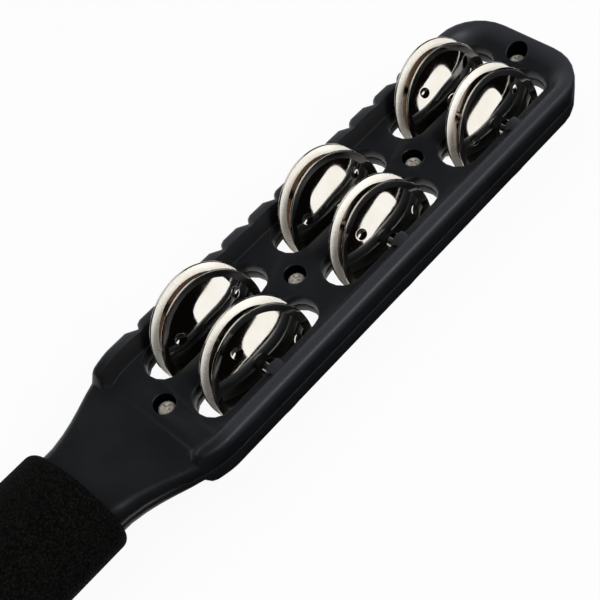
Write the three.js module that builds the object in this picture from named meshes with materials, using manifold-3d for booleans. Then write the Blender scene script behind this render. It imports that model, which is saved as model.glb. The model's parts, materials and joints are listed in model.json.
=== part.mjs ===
// Jingle stick: a moulded head in two half shells, with pairs of steel jingles on cross pins in six
// slots, a scraper edge, a neck, and a foam grip on the handle core.
// Units are millimetres. X runs along the stick to the tip, Y across it to the scraper side, Z up.
// The origin is the middle of the overall box, and Z 0 is the parting plane between the half shells.

import * as THREE from 'three';
import { mergeVertices } from 'three/addons/utils/BufferGeometryUtils.js';
import Module from 'manifold-3d';

const wasm = await Module();
wasm.setup();

// Overall layout along the stick
const HEAD_LENGTH = 168.3;
const NECK_LENGTH = 36.7;
const GRIP_LENGTH = 112;
const END_FLANGE = 3;
const TOTAL_LENGTH = HEAD_LENGTH + NECK_LENGTH + GRIP_LENGTH + END_FLANGE;
const TIP_X = TOTAL_LENGTH / 2;
const NECK_X = TIP_X - HEAD_LENGTH;
const GRIP_X = NECK_X - NECK_LENGTH;
const FLANGE_X = GRIP_X - GRIP_LENGTH;
const END_X = FLANGE_X - END_FLANGE;

// Jingle stations: three along the head, each with a slot on the left and one on the right
const STATION_COUNT = 3;
const STATION_PITCH = 55;
const TIP_MARGIN = 33;
const ROW_Y = 10.3;
const stationX = (k) => TIP_X - TIP_MARGIN - k * STATION_PITCH;

// Clearances
const PART_GAP = 0.3;
const PIN_GAP = 0.3;
const SCREW_GAP = 0.3;
const GRIP_GAP = 0.3;

// Edges and facets finer than this are cleared away after a cut
const HAIR = 0.02;

// Head outline and thickness
const HEAD_WIDTH = 50.6;
const HALF_WIDTH = HEAD_WIDTH / 2;
const TIP_RADIUS = 15.5;
const PLATE_THICKNESS = 7.2;
const FLOOR_Z = PLATE_THICKNESS / 2;

// Raised rim round the head: its width, its rise over the floor, and how far it slopes inwards at the tip
const RIM_WIDTH = 7.1;
const RIM_RISE = 3.7;
const TIP_SLOPE_WIDTH = 9.3;
const CREST_Z = FLOOR_Z + RIM_RISE;

// Rim profile from the parting line over the shoulder and crest to the floor: each pair is an inset as
// a share of the rim width and a height as a share of the crest height
const RIM_PROFILE = [
  [0, 0],
  [0.014, 0.66],
  [0.056, 0.89],
  [0.155, 0.98],
  [0.34, 1],
  [0.55, 0.985],
  [0.71, 0.88],
  [0.84, 0.71],
  [1, FLOOR_Z / CREST_Z],
];

// The same for the tip, where the rim slopes gently down towards the slots
const TIP_PROFILE = [
  [0, 0],
  [0.011, 0.66],
  [0.043, 0.86],
  [0.108, 0.93],
  [0.2, 0.925],
  [0.385, 0.84],
  [0.6, 0.72],
  [0.81, 0.6],
  [1, FLOOR_Z / CREST_Z],
];
const RINGS = RIM_PROFILE.length;

// Neck: its width at the grip, the sweep of its sides, its flat faces and its rounded edges
const NECK_WIDTH = 31.2;
const NECK_SWEEP = 0.88;
const NECK_FACE_Z = 4.1;
const NECK_END_Z = 6;
const NECK_EDGE_START = 1.6;
const NECK_EDGE_END = 3.4;
const NECK_RAMP_START = 6.6;
const NECK_RAMP_RUN = 2.2;
const NOSE_END = 10.4;
const NOSE_RUN = 2.6;

// Handle core inside the grip, and the flange that holds the grip on
const CORE_WIDTH = 27;
const FLANGE_RADIUS = 15.5;
const FLANGE_ROUND = 0.8;

// Mould draft of the two steps that hold the grip
const STEP_DRAFT = 0.05;

// Scraper teeth on the left side
const TOOTH_COUNT = 12;
const TOOTH_PITCH = 11.88;
const TOOTH_DEPTH = 1.9;
const TOOTH_RISE = 2.4;
const TOOTH_FALL = 3.6;
const LAST_NOTCH = 27.7;
const TOOTH_REACH = [1, 1, 1, 0.85, 0.5, 0.15, 0, 0, 0];
const TOOTH_DROP = [0, 0, 0.2, 0.35, 0.3, 0.1, 0, 0, 0];

// Slots
const SLOT_LENGTH = 46.8;
const SLOT_WIDTH = 12.1;
const SLOT_EDGE = 0.3;
const SLOT_FLARE = 0.8;
const SLOT_EDGE_DEPTH = 1.5;

// Cross pins that carry the jingles, and the bosses beside the slots
const PIN_RADIUS = 1.25;
const PIN_LENGTH = 43;
const BOSS_WIDTH = 5.6;
const BOSS_RISE = 2.4;
const BOSS_SETBACK = 0.25;

// Jingles
const JINGLE_RADIUS = 18.8;
const JINGLE_SHEET = 0.6;
const JINGLE_HOLE = 2.75;
const JINGLE_DOME = 2.45;
const JINGLE_FLANGE = 2.6;
const JINGLE_SPACING = 2;
const JINGLE_LEAN = THREE.MathUtils.degToRad(20);
const JINGLE_SEGMENTS = 22;
const DIMPLE_COUNT = 3;
const DIMPLE_RADIUS = 1.65;
const DIMPLE_DEPTH = 0.4;
const DIMPLE_CIRCLE = 12.6;

// How far each jingle has turned on its pin, in degrees. Each row is a station from the tip: the left
// slot's left and right jingle, then the right slot's.
const JINGLE_TURNS = [
  [64, 10, 95, 40],
  [17, 31, 78, 9],
  [52, 26, 103, -4],
];

// Screws through the head, their counterbores and the spigots that register the half shells
const SCREW_HEAD_RADIUS = 2.65;
const SCREW_HEAD_THICKNESS = 1.2;
const SCREW_SHANK_RADIUS = 1.3;
const SCREW_LENGTH = 4.8;
const SCREW_SINK = 2.3;
const TIP_SCREW_SETBACK = 1.2;
const COUNTERBORE_RADIUS = 3.45;
const SPIGOT_WALL = 0.85;
const SPIGOT_WEB = 1;
const SCREW_BOSS_RADIUS = 4.5;
const SCREW_BOSS_RISE = 2.2;
const SCREW_HEAD_Z = FLOOR_Z - SCREW_SINK;
const SEAT_Z = SCREW_HEAD_Z - SCREW_HEAD_THICKNESS - SCREW_GAP;

// Foam grip
const GRIP_DIAMETER = 36;
const GRIP_ROUND = 2.8;

// Materials
const makeMaterial = (color, roughness, metalness) =>
  new THREE.MeshStandardMaterial({ color, roughness, metalness });
const SHELL_COLOR = 0x23252a;
const JINGLE_COLOR = 0xc9c1ae;
const PIN_COLOR = 0xa8a49a;
const SCREW_COLOR = 0x9c9587;
const GRIP_COLOR = 0x0e0e0c;

// Mesh helpers

// Builds one closed body from shared points and faces
class Skin {
  constructor() {
    this.points = [];
    this.faces = [];
  }

  point(x, y, z) {
    this.points.push(x, y, z);
    return this.points.length / 3 - 1;
  }

  triangle(a, b, c) {
    this.faces.push(a, b, c);
  }

  quad(a, b, c, d) {
    this.triangle(a, b, c);
    this.triangle(a, c, d);
  }

  // Fills a convex flat outline of point indices from its first point
  fan(outline, flip) {
    for (let i = 1; i < outline.length - 1; i += 1) {
      if (flip) {
        this.triangle(outline[0], outline[i + 1], outline[i]);
      } else {
        this.triangle(outline[0], outline[i], outline[i + 1]);
      }
    }
  }

  // Fills the flat area between two rows of points that both run towards +X, using every point
  bridge(right, left, flip) {
    let i = 0;
    let k = 0;
    const along = (index) => this.points[3 * index];
    while (i < right.length - 1 || k < left.length - 1) {
      const stepRight = k === left.length - 1
        || (i < right.length - 1 && along(right[i + 1]) <= along(left[k + 1]));
      const third = stepRight ? right[i + 1] : left[k + 1];
      if (flip) {
        this.triangle(right[i], left[k], third);
      } else {
        this.triangle(right[i], third, left[k]);
      }
      if (stepRight) {
        i += 1;
      } else {
        k += 1;
      }
    }
  }

  geometry() {
    const geometry = new THREE.BufferGeometry();
    geometry.setAttribute('position', new THREE.Float32BufferAttribute(this.points, 3));
    geometry.setIndex(this.faces);
    return geometry;
  }
}

function toSolid(geometry) {
  const bare = geometry.clone();
  bare.deleteAttribute('normal');
  bare.deleteAttribute('uv');
  const merged = mergeVertices(bare, 1e-4);
  return new wasm.Manifold(new wasm.Mesh({
    numProp: 3,
    vertProperties: new Float32Array(merged.attributes.position.array),
    triVerts: new Uint32Array(merged.index.array),
  }));
}

// The mesh of a solid, with the hair-thin facets that a cut can leave cleared away
function toGeometry(solid) {
  const mesh = solid.getMesh();
  const points = new Float32Array(mesh.vertProperties);
  const geometry = new THREE.BufferGeometry();
  geometry.setAttribute('position', new THREE.BufferAttribute(points, 3));
  geometry.setIndex(turnSlivers(points, joinHairs(points, Array.from(mesh.triVerts))));
  geometry.computeVertexNormals();
  return geometry;
}

// Draws together the two ends of every edge shorter than a hair
function joinHairs(points, faces) {
  const target = new Map();
  const root = (i) => (target.has(i) ? root(target.get(i)) : i);
  for (let f = 0; f < faces.length; f += 3) {
    for (let k = 0; k < 3; k += 1) {
      const a = root(faces[f + k]);
      const b = root(faces[f + (k + 1) % 3]);
      if (a !== b && pointAt(points, a).distanceTo(pointAt(points, b)) < HAIR) target.set(b, a);
    }
  }
  const kept = [];
  for (let f = 0; f < faces.length; f += 3) {
    const [a, b, c] = [root(faces[f]), root(faces[f + 1]), root(faces[f + 2])];
    if (a !== b && b !== c && c !== a) kept.push(a, b, c);
  }
  return kept;
}

// Clears facets thinner than a hair. The long edge turns towards its neighbour's far corner, and where
// it can't, the middle corner is drawn to the nearer end of that edge.
function turnSlivers(points, allFaces) {
  let faces = allFaces;
  for (let pass = 0; pass < 24; pass += 1) {
    const owner = new Map();
    for (let i = 0; i < faces.length; i += 1) {
      const next = i % 3 === 2 ? i - 2 : i + 1;
      owner.set(`${faces[i]}_${faces[next]}`, i);
    }
    const touched = new Set();
    let drawn = null;
    for (let f = 0; f < faces.length && !drawn; f += 3) {
      const [height, long] = thinness(points, faces[f], faces[f + 1], faces[f + 2]);
      if (height > HAIR / 4 || touched.has(f)) continue;
      const a = faces[f + long];
      const b = faces[f + (long + 1) % 3];
      const m = faces[f + (long + 2) % 3];
      const i = owner.get(`${b}_${a}`);
      const g = i - (i % 3);
      const c = faces[g + ((i % 3) + 2) % 3];
      if (touched.has(g)) continue;
      const better = Math.min(thinness(points, m, a, c)[0], thinness(points, m, c, b)[0]) > height;
      if (better && !owner.has(`${m}_${c}`) && !owner.has(`${c}_${m}`)) {
        faces.splice(f, 3, m, a, c);
        faces.splice(g, 3, m, c, b);
        touched.add(f);
        touched.add(g);
      } else if (touched.size === 0) {
        const middle = pointAt(points, m);
        const nearA = middle.distanceTo(pointAt(points, a)) < middle.distanceTo(pointAt(points, b));
        drawn = drawTogether(faces, m, nearA ? a : b);
      }
    }
    if (drawn) {
      faces = drawn;
    } else if (touched.size === 0) {
      break;
    }
  }
  return faces;
}

// Moves point m onto its neighbour, if the body stays closed
function drawTogether(faces, m, end) {
  const around = (v) => {
    const found = new Set();
    for (let f = 0; f < faces.length; f += 3) {
      const corners = faces.slice(f, f + 3);
      if (corners.includes(v)) corners.forEach((corner) => found.add(corner));
    }
    found.delete(v);
    return found;
  };
  const ring = around(end);
  const shared = [...around(m)].filter((v) => ring.has(v));
  if (shared.length !== 2) return null;
  const kept = [];
  for (let f = 0; f < faces.length; f += 3) {
    const [a, b, c] = faces.slice(f, f + 3).map((v) => (v === m ? end : v));
    if (a !== b && b !== c && c !== a) kept.push(a, b, c);
  }
  return kept;
}

const pointAt = (points, i) => new THREE.Vector3().fromArray(points, 3 * i);

// Height of a facet over its longest edge, and which edge that is
function thinness(points, a, b, c) {
  const corners = [a, b, c].map((i) => pointAt(points, i));
  const lengths = corners.map((p, k) => p.distanceTo(corners[(k + 1) % 3]));
  const long = lengths.indexOf(Math.max(...lengths));
  const area = new THREE.Triangle(...corners).getArea();
  return [(2 * area) / lengths[long], long];
}

// A turned solid about Z from [radius, z] pairs that run from the axis round to the axis
function turnedZ(profile, segments) {
  const points = profile.map(([r, z]) => new THREE.Vector2(r, z));
  const geometry = new THREE.LatheGeometry(points, segments);
  geometry.rotateX(Math.PI / 2);
  return geometry;
}

// An upright cylinder between two heights
function post(x, y, radius, z0, z1, segments) {
  const geometry = turnedZ([[0, z0], [radius, z0], [radius, z1], [0, z1]], segments);
  geometry.translate(x, y, 0);
  return toSolid(outward(geometry));
}

// Turns the faces round if the closed body is inside out
function outward(geometry) {
  const bare = geometry.clone();
  bare.deleteAttribute('normal');
  bare.deleteAttribute('uv');
  const merged = mergeVertices(bare, 1e-4);
  const p = merged.attributes.position;
  const index = merged.index.array;
  const a = new THREE.Vector3();
  const b = new THREE.Vector3();
  const c = new THREE.Vector3();
  const kept = [];
  let volume = 0;
  for (let i = 0; i < index.length; i += 3) {
    const flat = index[i] === index[i + 1] || index[i + 1] === index[i + 2] || index[i] === index[i + 2];
    if (flat) continue;
    a.fromBufferAttribute(p, index[i]);
    b.fromBufferAttribute(p, index[i + 1]);
    c.fromBufferAttribute(p, index[i + 2]);
    volume += a.dot(b.cross(c)) / 6;
    kept.push(index[i], index[i + 1], index[i + 2]);
  }
  if (volume < 0) {
    for (let i = 0; i < kept.length; i += 3) {
      [kept[i + 1], kept[i + 2]] = [kept[i + 2], kept[i + 1]];
    }
  }
  merged.setIndex(kept);
  return merged;
}

// Half shell outline

const CORNER_STEPS = 7;
const mix = (a, b, t) => a + (b - a) * t;
const clamp01 = (t) => Math.min(1, Math.max(0, t));

// Half of the outline's width at x on the head and the neck
function halfWidthAt(x) {
  if (x >= NECK_X) return HALF_WIDTH;
  const t = clamp01((NECK_X - x) / NECK_LENGTH);
  return mix(NECK_WIDTH / 2, HALF_WIDTH, 0.5 * (1 + Math.cos(Math.PI * t ** NECK_SWEEP)));
}

// Depth of the scraper notches at x
function toothDepthAt(x) {
  const last = TIP_X - LAST_NOTCH;
  const first = last - (TOOTH_COUNT - 1) * TOOTH_PITCH;
  if (x >= last + TOOTH_RISE || x <= first - TOOTH_FALL) return 0;
  const k = Math.round((x - first) / TOOTH_PITCH - 0.15);
  const run = x - (first + clampTooth(k) * TOOTH_PITCH);
  if (run < 0) return TOOTH_DEPTH * clamp01(1 + run / TOOTH_FALL);
  const t = clamp01(run / TOOTH_RISE);
  return TOOTH_DEPTH * (1 - t) ** 2.4;
}

const clampTooth = (k) => Math.min(TOOTH_COUNT - 1, Math.max(0, k));

// Rim section on the head: inset and height of each ring. The share is 0 at the sides and 1 at the tip.
function rimSection(share) {
  return RIM_PROFILE.map(([inset, height], j) => [
    mix(inset * RIM_WIDTH, TIP_PROFILE[j][0] * TIP_SLOPE_WIDTH, share),
    mix(height, TIP_PROFILE[j][1], share) * CREST_Z,
  ]);
}

// Section with a flat face and rounded edges, for the neck and the handle core
function flatSection(faceZ, edge) {
  const drop = Math.min(edge * 1.25, faceZ * 0.75);
  return RIM_PROFILE.map((_, j) => {
    if (j === 0) return [0, 0];
    if (j <= 5) {
      const angle = ((j - 1) / 4) * (Math.PI / 2);
      return [edge * (1 - Math.cos(angle)), faceZ - drop + drop * Math.sin(angle)];
    }
    return [edge + (j - 5) * 1.4, faceZ];
  });
}

// Round section for the end flange
function roundSection(radius) {
  return RIM_PROFILE.map((_, j) => {
    const angle = (j / (RINGS - 1)) * THREE.MathUtils.degToRad(84);
    return [radius * (1 - Math.cos(angle)), radius * Math.sin(angle)];
  });
}

// Section on the neck: the rim ends in rounded noses and the floor steps up to the neck's face
function neckSection(x) {
  const u = NECK_X - x;
  const along = clamp01(u / NECK_LENGTH);
  const faceZ = mix(NECK_FACE_Z, NECK_END_Z, clamp01((u - NOSE_END) / (NECK_LENGTH - NOSE_END)));
  const edge = mix(NECK_EDGE_START, NECK_EDGE_END, clamp01((along - 0.3) / 0.6));
  const flat = flatSection(faceZ, edge);
  const rim = rimSection(0);
  const ramp = clamp01((u - NECK_RAMP_START) / NECK_RAMP_RUN);
  return rim.map(([inset, height], j) => {
    if (j === 0) return [0, 0];
    if (j === RINGS - 1) {
      return [mix(inset, flat[j][0], clamp01((u - NOSE_END) / 4)), mix(height, faceZ, ramp)];
    }
    const early = Math.abs(j - 4.3) * 0.45;
    const t = clamp01((u - (NOSE_END - NOSE_RUN - early)) / NOSE_RUN);
    const height0 = j > 5 ? Math.max(height, mix(FLOOR_Z, faceZ, ramp)) : height;
    const fall = 1 - Math.sqrt(1 - t * t);
    const climb = Math.max(0, flat[j][1] - height0) * t;
    return [
      mix(inset, flat[j][0], clamp01((u - 6) / 6)),
      mix(height0, Math.min(flat[j][1], height0), fall) + climb,
    ];
  });
}

// Distances from the head's end at which the neck has a section, closest together at the noses
function neckPlaces() {
  const places = [];
  for (const share of [1, 0.82, 0.64, 0.48, 0.33, 0.14]) {
    places.push(mix(NOSE_END, NECK_LENGTH - STEP_DRAFT, share));
  }
  places.push(NOSE_END, NECK_RAMP_START + NECK_RAMP_RUN);
  for (const share of [0.7, 0.38, 0]) {
    places.push(NECK_RAMP_START + NECK_RAMP_RUN * share);
  }
  for (const share of [0.8, 0.5, 0.22, 0]) {
    places.push(NECK_RAMP_START * share);
  }
  return places;
}

// All stations round the outline, from the handle's end on the right, round the tip, to the left
function outlineStations() {
  const side = [];
  const straight = (x, half, section) => side.push({ x, half, section });

  straight(END_X, FLANGE_RADIUS - FLANGE_ROUND, roundSection(FLANGE_RADIUS - FLANGE_ROUND));
  straight(END_X + FLANGE_ROUND, FLANGE_RADIUS, roundSection(FLANGE_RADIUS));
  straight(FLANGE_X - FLANGE_ROUND, FLANGE_RADIUS, roundSection(FLANGE_RADIUS));
  straight(FLANGE_X, FLANGE_RADIUS - FLANGE_ROUND, roundSection(FLANGE_RADIUS - FLANGE_ROUND));
  const core = flatSection(NECK_END_Z, NECK_EDGE_END);
  straight(FLANGE_X + STEP_DRAFT, CORE_WIDTH / 2, core);
  straight(GRIP_X, CORE_WIDTH / 2, core);
  for (const u of neckPlaces()) {
    const x = NECK_X - u;
    straight(x, halfWidthAt(x), neckSection(x));
  }

  const corner = [];
  for (let i = 0; i <= CORNER_STEPS; i += 1) {
    corner.push((i / CORNER_STEPS) * (Math.PI / 2));
  }

  const stations = [];
  for (const s of side) {
    stations.push({ x: s.x, y: -s.half, nx: 0, ny: 1, section: s.section, tooth: 0 });
  }
  for (const angle of corner) {
    const a = angle - Math.PI / 2;
    stations.push(tipStation(a, -1));
  }
  for (const angle of corner) {
    stations.push(tipStation(angle, 1));
  }
  for (const x of toothStations()) {
    stations.push({ x, y: HALF_WIDTH, nx: 0, ny: -1, section: rimSection(0), tooth: toothDepthAt(x) });
  }
  for (const s of [...side].reverse()) {
    const tooth = s.x > NECK_X - 1 ? toothDepthAt(s.x) : 0;
    stations.push({ x: s.x, y: s.half, nx: 0, ny: -1, section: s.section, tooth });
  }
  return { stations, sideCount: side.length };
}

// A station on a rounded corner of the tip, at an angle from X
function tipStation(angle, side) {
  const cx = TIP_X - TIP_RADIUS;
  const cy = side * (HALF_WIDTH - TIP_RADIUS);
  return {
    x: cx + TIP_RADIUS * Math.cos(angle),
    y: cy + TIP_RADIUS * Math.sin(angle),
    nx: -Math.cos(angle),
    ny: -Math.sin(angle),
    section: rimSection(Math.max(0, Math.cos(angle)) ** 1.5),
    tooth: 0,
  };
}

// Places along the left side that the teeth need, from the tip to the neck
function toothStations() {
  const places = [];
  for (let m = 0; m < TOOTH_COUNT; m += 1) {
    const notch = TIP_X - LAST_NOTCH - m * TOOTH_PITCH;
    places.push(notch + TOOTH_RISE, notch + TOOTH_RISE * 0.4, notch, notch - TOOTH_FALL);
  }
  return places.filter((x) => x > NECK_X + 1);
}

// The moulded half shell before its holes are cut. Up is 1 for the upper shell and -1 for the lower.
function shellBlank(up) {
  const skin = new Skin();
  const { stations, sideCount } = outlineStations();
  const last = stations.length - 1;
  const rings = stations.map((s) => s.section.map(([inset, height], j) => {
    const d = inset + s.tooth * TOOTH_REACH[j];
    const z = Math.max(PART_GAP / 2, height - s.tooth * TOOTH_DROP[j]);
    return skin.point(s.x + s.nx * d, s.y + s.ny * d, up * z);
  }));
  const quad = (a, b, c, d) => (up > 0 ? skin.quad(a, b, c, d) : skin.quad(a, d, c, b));
  for (let i = 0; i < last; i += 1) {
    for (let j = 0; j < RINGS - 1; j += 1) {
      quad(rings[i][j], rings[i + 1][j], rings[i + 1][j + 1], rings[i][j + 1]);
    }
  }

  // The neck's face, the handle core and the flange, straight across from the right to the left
  const inner = RINGS - 1;
  const rampTop = stations.findIndex((s) => s.x >= NECK_X - NECK_RAMP_START - 0.01);
  for (let i = 0; i < rampTop; i += 1) {
    quad(rings[i][inner], rings[i + 1][inner], rings[last - i - 1][inner], rings[last - i][inner]);
  }

  // The floor of the head, and the parting plane
  const rightEnd = sideCount + CORNER_STEPS;
  const rowOf = (j, from, to) => rings.slice(from, to + 1).map((ring) => ring[j]);
  const floorLeft = rowOf(inner, rightEnd + 1, last - rampTop).reverse();
  skin.bridge(rowOf(inner, rampTop, rightEnd), floorLeft, up < 0);
  const partingLeft = rowOf(0, rightEnd + 1, last).reverse();
  skin.bridge(rowOf(0, 0, rightEnd), partingLeft, up > 0);

  // The flat end of the handle
  for (let j = 0; j < RINGS - 1; j += 1) {
    quad(rings[0][j], rings[0][j + 1], rings[last][j + 1], rings[last][j]);
  }
  return toSolid(skin.geometry());
}

// A long slot with rounded ends and a fine edge at the outer face. The side over which the jingles lean is
// flared to clear their domes: the left side above, the right side below.
function slotCutter(x, y, up) {
  const skin = new Skin();
  const straight = SLOT_LENGTH / 2 - SLOT_WIDTH / 2;
  const half = SLOT_WIDTH / 2;
  const levels = [
    [0, -1],
    [0, FLOOR_Z - SLOT_EDGE_DEPTH],
    [0.5, FLOOR_Z - SLOT_EDGE_DEPTH * 0.38],
    [1, FLOOR_Z],
    [1, CREST_Z + 1],
  ];
  const arc = 8;
  const rings = levels.map(([share, z]) => {
    const ring = [];
    for (const end of [1, -1]) {
      for (let i = 0; i <= arc; i += 1) {
        const a = (i / arc - 0.5) * Math.PI + (end > 0 ? 0 : Math.PI);
        const r = half + share * (SLOT_EDGE + SLOT_FLARE * Math.max(0, up * Math.sin(a)) ** 2);
        ring.push(skin.point(x + end * straight + r * Math.cos(a), y + r * Math.sin(a), up * z));
      }
    }
    return ring;
  });
  const n = rings[0].length;
  for (let k = 0; k < rings.length - 1; k += 1) {
    for (let i = 0; i < n; i += 1) {
      const j = (i + 1) % n;
      skin.quad(rings[k][i], rings[k][j], rings[k + 1][j], rings[k + 1][i]);
    }
  }
  skin.fan(rings[0], true);
  skin.fan(rings[rings.length - 1], false);
  return toSolid(outward(skin.geometry()));
}

// A round-topped boss on the rim's inner side, over a pin
function pinBoss(x, side, up) {
  const half = BOSS_WIDTH / 2;
  const base = FLOOR_Z - 1.2;
  const top = FLOOR_Z + BOSS_RISE;
  const shape = new THREE.Shape();
  shape.moveTo(-half, base);
  shape.lineTo(half, base);
  shape.lineTo(half, FLOOR_Z - 0.4);
  for (let i = 1; i < 6; i += 1) {
    const a = (i / 6) * Math.PI;
    const w = half * Math.sign(Math.cos(a)) * Math.abs(Math.cos(a)) ** 0.75;
    shape.lineTo(w, mix(FLOOR_Z, top, Math.sin(a) ** 0.75));
  }
  shape.lineTo(-half, FLOOR_Z - 0.4);
  const inner = ROW_Y + SLOT_WIDTH / 2 + BOSS_SETBACK;
  const outer = HALF_WIDTH - RIM_WIDTH * 0.7;
  const geometry = new THREE.ExtrudeGeometry(shape, { depth: outer - inner, bevelEnabled: false });
  geometry.rotateX(Math.PI / 2);
  geometry.scale(1, -side, up);
  geometry.translate(x, side * inner, 0);
  return toSolid(outward(geometry));
}

// A cylinder along Y
function crossCylinder(x, radius, length, segments) {
  const half = length / 2;
  const geometry = new THREE.LatheGeometry([
    new THREE.Vector2(0, -half),
    new THREE.Vector2(radius, -half),
    new THREE.Vector2(radius, half),
    new THREE.Vector2(0, half),
  ], segments);
  geometry.translate(x, 0, 0);
  return outward(geometry);
}

const screwXs = [];
for (let k = 0; k <= STATION_COUNT; k += 1) {
  screwXs.push(stationX(k) + STATION_PITCH / 2 - (k === 0 ? TIP_SCREW_SETBACK : 0));
}

// One half shell with its slots, pin grooves, bosses and screw features
function buildShell(up) {
  let solid = shellBlank(up);
  const bossSide = -up;
  for (let k = 0; k < STATION_COUNT; k += 1) {
    solid = solid.subtract(slotCutter(stationX(k), ROW_Y, up));
    solid = solid.subtract(slotCutter(stationX(k), -ROW_Y, up));
    solid = solid.add(pinBoss(stationX(k), bossSide, up));
  }
  for (let k = 0; k < STATION_COUNT; k += 1) {
    const groove = crossCylinder(stationX(k), PIN_RADIUS + PIN_GAP, PIN_LENGTH + 2 * PIN_GAP, 12);
    solid = solid.subtract(toSolid(groove));
  }
  const spigot = COUNTERBORE_RADIUS + SPIGOT_WALL;
  const shankHole = SCREW_SHANK_RADIUS + SCREW_GAP;
  const webZ = SEAT_Z - SPIGOT_WEB;
  for (const x of screwXs) {
    if (up > 0) {
      solid = solid.add(post(x, 0, spigot, webZ, PART_GAP, 18));
      solid = solid.subtract(post(x, 0, COUNTERBORE_RADIUS, SEAT_Z, CREST_Z + 1, 18));
      solid = solid.subtract(post(x, 0, shankHole, webZ - 1, SEAT_Z + 1, 8));
    } else {
      const bossZ = -FLOOR_Z - SCREW_BOSS_RISE;
      solid = solid.add(screwBoss(x, bossZ));
      solid = solid.subtract(post(x, 0, spigot + PART_GAP, webZ - PART_GAP, 1, 18));
      solid = solid.subtract(post(x, 0, shankHole, SEAT_Z + SCREW_GAP - SCREW_LENGTH - PART_GAP, 0, 8));
    }
  }
  return toGeometry(solid);
}

// A round boss under the lower shell that gives a screw enough thread
function screwBoss(x, bossZ) {
  const edge = 0.6;
  const geometry = turnedZ([
    [0, bossZ],
    [SCREW_BOSS_RADIUS - edge, bossZ],
    [SCREW_BOSS_RADIUS, bossZ + edge],
    [SCREW_BOSS_RADIUS, -FLOOR_Z + 1],
    [0, -FLOOR_Z + 1],
  ], 18);
  geometry.translate(x, 0, 0);
  return toSolid(outward(geometry));
}

// Screw with a rounded head and a cross recess
function buildScrew() {
  const r = SCREW_HEAD_RADIUS;
  const t = SCREW_HEAD_THICKNESS;
  const tip = SCREW_SHANK_RADIUS * 0.5;
  let solid = toSolid(outward(turnedZ([
    [0, -t - SCREW_LENGTH + 0.3],
    [tip, -t - SCREW_LENGTH + 0.3],
    [SCREW_SHANK_RADIUS, -t - SCREW_LENGTH + 1.1],
    [SCREW_SHANK_RADIUS, -t],
    [r, -t],
    [r, -t * 0.45],
    [r * 0.7, 0],
    [0, 0],
  ], 12)));
  for (const turn of [0, Math.PI / 2]) {
    const bar = new THREE.BoxGeometry(3, 0.75, 1.3);
    bar.rotateZ(turn);
    solid = solid.subtract(toSolid(bar));
  }
  return toGeometry(solid);
}

// Jingle: a pressed disc with a flat flange, a dome to one side, a centre hole and round dimples.
// Its axis is local Y and the dome rises to +Y from the flange at Y 0. The turn is about that axis.
function buildJingle(turn) {
  const t = JINGLE_SHEET / 2;
  const foot = JINGLE_RADIUS - JINGLE_FLANGE;
  const dome = (r) => {
    const s = clamp01((foot - r) / (foot - JINGLE_HOLE));
    return JINGLE_DOME * Math.sin((Math.PI / 2) * Math.min(1, s * 1.06) ** 0.62);
  };
  const along = (share) => JINGLE_HOLE + (foot - JINGLE_HOLE) * share;
  const outer = [0, 0.46, 0.82, 1].map((share) => new THREE.Vector2(along(share), dome(along(share)) + t));
  const inner = [1, 0.6, 0].map((share) => new THREE.Vector2(along(share), dome(along(share)) - t));
  const profile = [
    ...outer,
    new THREE.Vector2(JINGLE_RADIUS, t),
    new THREE.Vector2(JINGLE_RADIUS, -t),
    ...inner,
    outer[0].clone(),
  ];
  let solid = toSolid(outward(new THREE.LatheGeometry(profile, JINGLE_SEGMENTS)));
  for (let k = 0; k < DIMPLE_COUNT; k += 1) {
    const cap = new THREE.LatheGeometry([
      new THREE.Vector2(0, -DIMPLE_DEPTH),
      new THREE.Vector2(DIMPLE_RADIUS * 2, DIMPLE_DEPTH),
      new THREE.Vector2(0, DIMPLE_DEPTH),
    ], 6);
    const slope = Math.atan2(dome(DIMPLE_CIRCLE - 1) - dome(DIMPLE_CIRCLE + 1), 2);
    cap.rotateZ(-slope);
    cap.translate(DIMPLE_CIRCLE, dome(DIMPLE_CIRCLE) + t, 0);
    cap.rotateY((k / DIMPLE_COUNT) * 2 * Math.PI + THREE.MathUtils.degToRad(turn));
    solid = solid.subtract(toSolid(outward(cap)));
  }
  return toGeometry(solid);
}

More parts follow.
